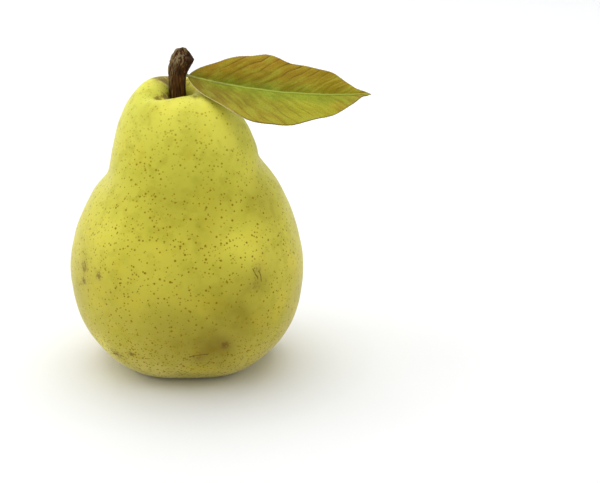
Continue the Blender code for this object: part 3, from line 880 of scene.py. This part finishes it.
# Painted highlight along each vein's crest near the midrib, so that the veins look embossed.
crest = add(tree, "MapRange", {0: from_vein, 1: 0.028, 2: 0.0}, **SOFT)[0]
near_midrib = add(tree, "MapRange", {0: width, 1: 8 * MM, 2: 2 * MM, 4: 0.6}, **SOFT)[0]
vein_highlight = add(tree, "Math", {0: crest, 1: near_midrib}, operation="MULTIPLY")[0]
colour = add(tree, "Mix", {0: vein_highlight, 6: colour, 7: linear("#b3a43a")}, data_type="RGBA")[2]

# The fine net between the veins, the brown edge, and the pale midrib that narrows to the tip.
net = add(
    tree, "TexVoronoi", {"Vector": blade, "Scale": 1 / (0.8 * MM)}, feature="DISTANCE_TO_EDGE"
)["Distance"]
net = add(tree, "MapRange", {0: net, 1: 0.16, 2: 0.02}, **SOFT)[0]
amount = add(tree, "Math", {0: net, 1: 0.22}, operation="MULTIPLY")[0]
colour = add(tree, "Mix", {0: amount, 6: colour, 7: linear("#5c520c")}, data_type="RGBA")[2]
amount = add(tree, "MapRange", {0: edge, 1: 0.975, 2: 1.0, 4: 0.45}, **SOFT)[0]
colour = add(tree, "Mix", {0: amount, 6: colour, 7: linear("#6e5010")}, data_type="RGBA")[2]
rib_width = add(
    tree, "Math", {0: x, 1: -RIB_TAPER * RIB_WIDTH / LEAF_LENGTH, 2: RIB_WIDTH}, operation="MULTIPLY_ADD"
)[0]
rib_middle = add(tree, "Math", {0: rib_width, 1: 0.5}, operation="MULTIPLY")[0]
rib = add(tree, "MapRange", {0: width, 1: rib_width, 2: rib_middle}, **SOFT)[0]
colour = add(tree, "Mix", {0: rib, 6: colour, 7: linear("#a9b64c")}, data_type="RGBA")[2]
tree.links.new(colour, shader.inputs["Base Color"])
relief = add(tree, "Bump", {"Height": net, "Strength": 0.25, "Distance": 0.06 * MM}, invert=True)[0]
tree.links.new(relief, shader.inputs["Normal"])
shader.inputs["Roughness"].default_value = 0.55
shader.inputs["Specular IOR Level"].default_value = 0.08

# The under face: duller and paler, with the veins standing up from it.
leaf_under, tree, shader = plain_material("leaf_under_side")
blade = add(tree, "UVMap", uv_map="blade")[0]
phase = add(tree, "Attribute", attribute_name="vein")["Fac"]
from_vein = add(tree, "Math", {0: phase, 1: 0.5}, operation="PINGPONG")[0]
vein_line = add(tree, "MapRange", {0: from_vein, 1: 0.09, 2: 0.03}, **SOFT)[0]
mottle = add(tree, "TexNoise", {"Vector": blade, "Scale": 1 / (5 * MM), "Detail": 4.0})[0]
colour = add(
    tree, "ValToRGB", {"Fac": mottle}, stops=((0.3, "#979a52"), (0.5, "#a5a45a"), (0.7, "#a8945a"))
)[0]
net = add(
    tree, "TexVoronoi", {"Vector": blade, "Scale": 1 / (1.1 * MM)}, feature="DISTANCE_TO_EDGE"
)["Distance"]
net = add(tree, "MapRange", {0: net, 1: 0.16, 2: 0.02}, **SOFT)[0]
fine_net = add(tree, "Math", {0: net, 1: 0.4}, operation="MULTIPLY")[0]
colour = add(tree, "Mix", {0: fine_net, 6: colour, 7: linear("#c3c184")}, data_type="RGBA")[2]
colour = add(tree, "Mix", {0: vein_line, 6: colour, 7: linear("#c9c98a")}, data_type="RGBA")[2]
tree.links.new(colour, shader.inputs["Base Color"])
standing = add(tree, "Math", {0: vein_line, 1: fine_net}, operation="MAXIMUM")[0]
relief = add(tree, "Bump", {"Height": standing, "Strength": 0.8, "Distance": 0.2 * MM})[0]
tree.links.new(relief, shader.inputs["Normal"])
shader.inputs["Roughness"].default_value = 0.65
shader.inputs["Specular IOR Level"].default_value = 0.25

# The blade's edge, side-on: dry and straw-coloured near the stalk, brown further out.
leaf_rim, tree, shader = plain_material("leaf_rim")
blade = add(tree, "UVMap", uv_map="blade")[0]
x = add(tree, "SeparateXYZ", {0: blade})["X"]
along = add(tree, "Math", {0: x, 1: 1 / LEAF_LENGTH}, operation="MULTIPLY")[0]
colour = add(
    tree,
    "ValToRGB",
    {"Fac": along},
    stops=((0.0, "#e2d398"), (0.25, "#d9c884"), (0.36, "#84661c"), (1.0, "#7c5c18")),
)[0]
tree.links.new(colour, shader.inputs["Base Color"])
shader.inputs["Roughness"].default_value = 0.7

leaf_blade = finished("leaf_blade", leaf, leaf_top, leaf_under, leaf_rim)
wall = leaf_blade.modifiers.new("thickness", "SOLIDIFY")
wall.thickness = LEAF_THICKNESS
wall.offset = -1
wall.material_offset = 1
wall.material_offset_rim = 2
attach(leaf_blade, "root")
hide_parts("leaf")


# The leaf's stalk. It leaves the side of the stem and runs on under the blade as its midrib,
# tapering to the tip.
STALK_RADIUS = 0.55 * MM
STALK_START = -0.03  # share of the leaf's length
STALK_ROOT = Vector((-1.6, 0.6, 0.2)) * MM  # from the blade's base to its end inside the stem
STALK_SINK = 0.35 * MM  # of its middle line under the blade's upper face
STALK_TAPER = 0.75  # share of its radius lost on the way to the tip
STALK_RINGS = 160
STALK_SEGMENTS = 20

side_line = [(1, 0, i / STALK_RINGS) for i in range(STALK_RINGS + 1)]
stalk = turned([(0, 0, 0), *side_line, (0, 0, 1)], STALK_SEGMENTS)
for vertex in stalk.verts:
    along_it = STALK_START + vertex.co.z * (1 - STALK_START)
    ends = min(1, (1 - vertex.co.z) / 0.04)
    radius = STALK_RADIUS * (1 - STALK_TAPER * max(0, along_it)) * math.sqrt(max(ends, 0))
    middle = midrib(max(along_it, 0)) + STALK_ROOT * min(along_it, 0) / STALK_START
    middle -= LEAF_RISE * STALK_SINK * min(1, max(0, along_it) / 0.05)
    vertex.co = middle + (LEAF_ACROSS * vertex.co.x + LEAF_RISE * vertex.co.y) * radius
bmesh.ops.recalc_face_normals(stalk, faces=stalk.faces)

# Green skin with fine brown streaks along it.
stalk_skin, tree, shader = plain_material("leaf_stalk_skin")
place = add(tree, "TexCoord")["Object"]
streaks = add(tree, "Mapping", {"Vector": place, "Scale": (0.1, 1, 1)})[0]
streaks = add(tree, "TexNoise", {"Vector": streaks, "Scale": 1 / (0.5 * MM), "Detail": 2.0})[0]
colour = add(
    tree, "ValToRGB", {"Fac": streaks}, stops=((0.35, "#8f9440"), (0.55, "#a9b052"), (0.7, "#a58f4c"))
)[0]
tree.links.new(colour, shader.inputs["Base Color"])
shader.inputs["Roughness"].default_value = 0.55
shader.inputs["Specular IOR Level"].default_value = 0.3

leaf_stalk = finished("leaf_stalk", stalk, stalk_skin)
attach(leaf_stalk, "root")
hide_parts("leaf")


# The calyx. What is left of the flower in the basin under the fruit: a dry little cup with five
# curled sepals round its edge and the withered threads of the stamens inside.
CUP_SINK = 0.8 * MM  # how far the cup's top goes into the flesh over it
CUP_TOP = core + Vector((0, 0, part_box("calyx")[1].z + CUP_SINK))
CUP_RADIUS = 3.0 * MM
CUP_DEPTH = 2.6 * MM
CUP_WALL = 0.5 * MM
CUP_ROOF = 1.0 * MM  # thickness of its top, where the stamens stand
CUP_FLARE = 1.08  # how much wider it is at its rim
CUP_LOBING = 0.05  # share of its radius that it swells towards each sepal
CUP_GRAIN = 0.2 * MM
CUP_STEPS = 72
CREASE_RISE = 0.2 * MM
CREASE_SIZE = 1.5 * MM
noise.seed_set(5)  # noise_vector draws its creases from this, and would else differ on each run
SEPALS = 5
SEPAL_LENGTH = 6.2 * MM
SEPAL_WIDTH = 3.4 * MM
SEPAL_THICKNESS = 0.22 * MM
SEPAL_RUMPLE = 0.35 * MM
SEPAL_CUPPING = 0.5 * MM  # how far its two sides bend inwards
SEPAL_TURN = math.radians(12)
SEPAL_CURL = math.radians(95)  # from its root to its tip
STAMENS = 14
STAMEN_LENGTH = 2.6 * MM
STAMEN_RADII = (0.16 * MM, 0.10 * MM)
STAMEN_REACH = 1.7 * MM  # from the middle of the cup to the outermost one
STAMEN_TURN = math.radians(137.5)  # from one to the next, as a plant sets them

# Dead, papery tissue: dull, dark brown where its crumpled relief sinks and straw-coloured where it rises.
dry_cup, tree, shader = plain_material("dry_calyx")
place = add(tree, "TexCoord")["Object"]
crumple = add(tree, "TexNoise", {"Vector": place, "Scale": 1 / (1.2 * MM), "Detail": 4.0})[0]
colour = add(
    tree,
    "ValToRGB",
    {"Fac": crumple},
    stops=((0.30, "#2f2010"), (0.45, "#55401f"), (0.60, "#7d6436"), (0.75, "#a18a58")),
)[0]
tree.links.new(colour, shader.inputs["Base Color"])
relief = add(tree, "Bump", {"Height": crumple, "Strength": 0.8, "Distance": 0.2 * MM})[0]
tree.links.new(relief, shader.inputs["Normal"])
shader.inputs["Roughness"].default_value = 0.8
shader.inputs["Specular IOR Level"].default_value = 0.25

cup_outline = (
    (0, 0, 0),
    (CUP_RADIUS, 0, -0.2 * MM),
    (CUP_RADIUS * CUP_FLARE, 0, -CUP_DEPTH),
    (CUP_RADIUS * CUP_FLARE - CUP_WALL, 0, -CUP_DEPTH - 0.1 * MM),
    (CUP_RADIUS - 2 * CUP_WALL, 0, -CUP_ROOF - 0.2 * MM),
    (0, 0, -CUP_ROOF),
)
cup = turned(smooth_line(cup_outline, CUP_GRAIN), CUP_STEPS)
for vertex in cup.verts:
    azimuth = math.atan2(vertex.co.y, vertex.co.x)
    vertex.co *= 1 + CUP_LOBING * math.cos(SEPALS * (azimuth - SEPAL_TURN))
    vertex.co += CREASE_RISE * noise.noise_vector(vertex.co / CREASE_SIZE)
for number in range(SEPALS):
    sepal = bmesh.new()
    bmesh.ops.create_grid(sepal, x_segments=26, y_segments=14, size=1)
    turn = math.tau * number / SEPALS + SEPAL_TURN
    for vertex in sepal.verts:
        share = (vertex.co.x + 1) / 2
        side = vertex.co.y
        half = SEPAL_WIDTH / 2 * (1 - share) ** 0.8 * (1 + 0.5 * share)
        curl = share * (1.0 + 0.35 * noise.noise(Vector((number * 3.1, 0, 0)))) * SEPAL_CURL
        out = CUP_RADIUS + SEPAL_LENGTH * (1 - math.cos(curl)) / SEPAL_CURL
        down = CUP_DEPTH * 0.6 + SEPAL_LENGTH * math.sin(curl) / SEPAL_CURL
        rumple = SEPAL_RUMPLE * noise.noise(Vector((share * 3, side * 1.5, number * 5.0)))
        cupped = SEPAL_CUPPING * side**2 * (1 - share)
        vertex.co = (out - cupped + rumple, side * half, rumple - down)
    bmesh.ops.rotate(sepal, verts=sepal.verts, cent=(0, 0, 0), matrix=Matrix.Rotation(turn, 3, "Z"))
    everything = sepal.verts[:] + sepal.edges[:] + sepal.faces[:]
    bmesh.ops.solidify(sepal, geom=everything, thickness=SEPAL_THICKNESS)
    sepal_mesh = bpy.data.meshes.new("sepal")
    sepal.to_mesh(sepal_mesh)
    sepal.free()
    cup.from_mesh(sepal_mesh)
    bpy.data.meshes.remove(sepal_mesh)
for number in range(STAMENS):
    turn = number * STAMEN_TURN
    foot = STAMEN_REACH * math.sqrt((number + 0.5) / STAMENS)
    thread = bmesh.ops.create_cone(
        cup,
        cap_ends=True,
        segments=8,
        radius1=STAMEN_RADII[0],
        radius2=STAMEN_RADII[1],
        depth=STAMEN_LENGTH,
    )["verts"]
    bend = Matrix.Rotation(0.5 * math.sin(number * 2.4), 3, "X")
    bmesh.ops.rotate(cup, verts=thread, cent=(0, 0, 0), matrix=Matrix.Rotation(turn, 3, "Z") @ bend)
    bmesh.ops.translate(
        cup,
        verts=thread,
        vec=(foot * math.cos(turn), foot * math.sin(turn), -CUP_ROOF - STAMEN_LENGTH / 2),
    )
bmesh.ops.recalc_face_normals(cup, faces=cup.faces)
bmesh.ops.translate(cup, verts=cup.verts, vec=CUP_TOP)

dried_calyx = finished("dried_calyx", cup, dry_cup)
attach(dried_calyx, "root")
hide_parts("calyx")


# The floor and the light: a sheet of white board under big soft lights, with paler light from
# all round.
FLOOR_REACH = 4000 * MM  # from its middle to each edge
FLOOR_GAP = 0.05 * MM  # under the fruit's foot
floor_bm = bmesh.new()
bmesh.ops.create_grid(floor_bm, x_segments=1, y_segments=1, size=FLOOR_REACH)
bmesh.ops.translate(floor_bm, verts=floor_bm.verts, vec=(0, 0, -FLOOR_GAP))
board, tree, shader = plain_material("white_board")
shader.inputs["Base Color"].default_value = linear("#f5f6f7")
shader.inputs["Roughness"].default_value = 0.6
floor = finished("floor", floor_bm, board)
floor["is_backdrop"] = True

world = bpy.data.worlds.new("studio")
world.use_nodes = True
sky = world.node_tree.nodes["Background"]
sky.inputs["Color"].default_value = (1, 1, 1, 1)
sky.inputs["Strength"].default_value = 0.45
bpy.context.scene.world = world

# (name, place from the foot of the core, width, height, power in watts), in metres
SOFTBOXES = (
    ("overhead", (0, 0, 0.9), 1.2, 1.2, 4.0),
    ("behind", (0, 0.6, 0.8), 1.2, 0.8, 3.5),
    ("upper_left", (-0.6, 0.1, 0.8), 0.9, 0.9, 1.5),
    ("left", (-0.9, 0, 0.35), 0.8, 0.7, 2.5),
    ("low_left", (-0.6, 0.8, 0.2), 0.8, 0.5, 1.0),
    ("right", (0.9, 0, 0.35), 0.8, 0.7, 1.5),
)
for name, offset, across, tall, power in SOFTBOXES:
    lamp = bpy.data.lights.new(name, "AREA")
    lamp.shape = "RECTANGLE"
    lamp.size = across
    lamp.size_y = tall
    lamp.energy = power
    softbox = bpy.data.objects.new(name, lamp)
    bpy.context.scene.collection.objects.link(softbox)
    softbox.location = core + Vector(offset)
    aim = core + Vector((0, 0, BODY_HEIGHT / 2)) - softbox.location
    softbox.rotation_euler = aim.to_track_quat("-Z", "Y").to_euler()

bpy.context.scene.view_settings.view_transform = "Standard"

low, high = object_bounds()
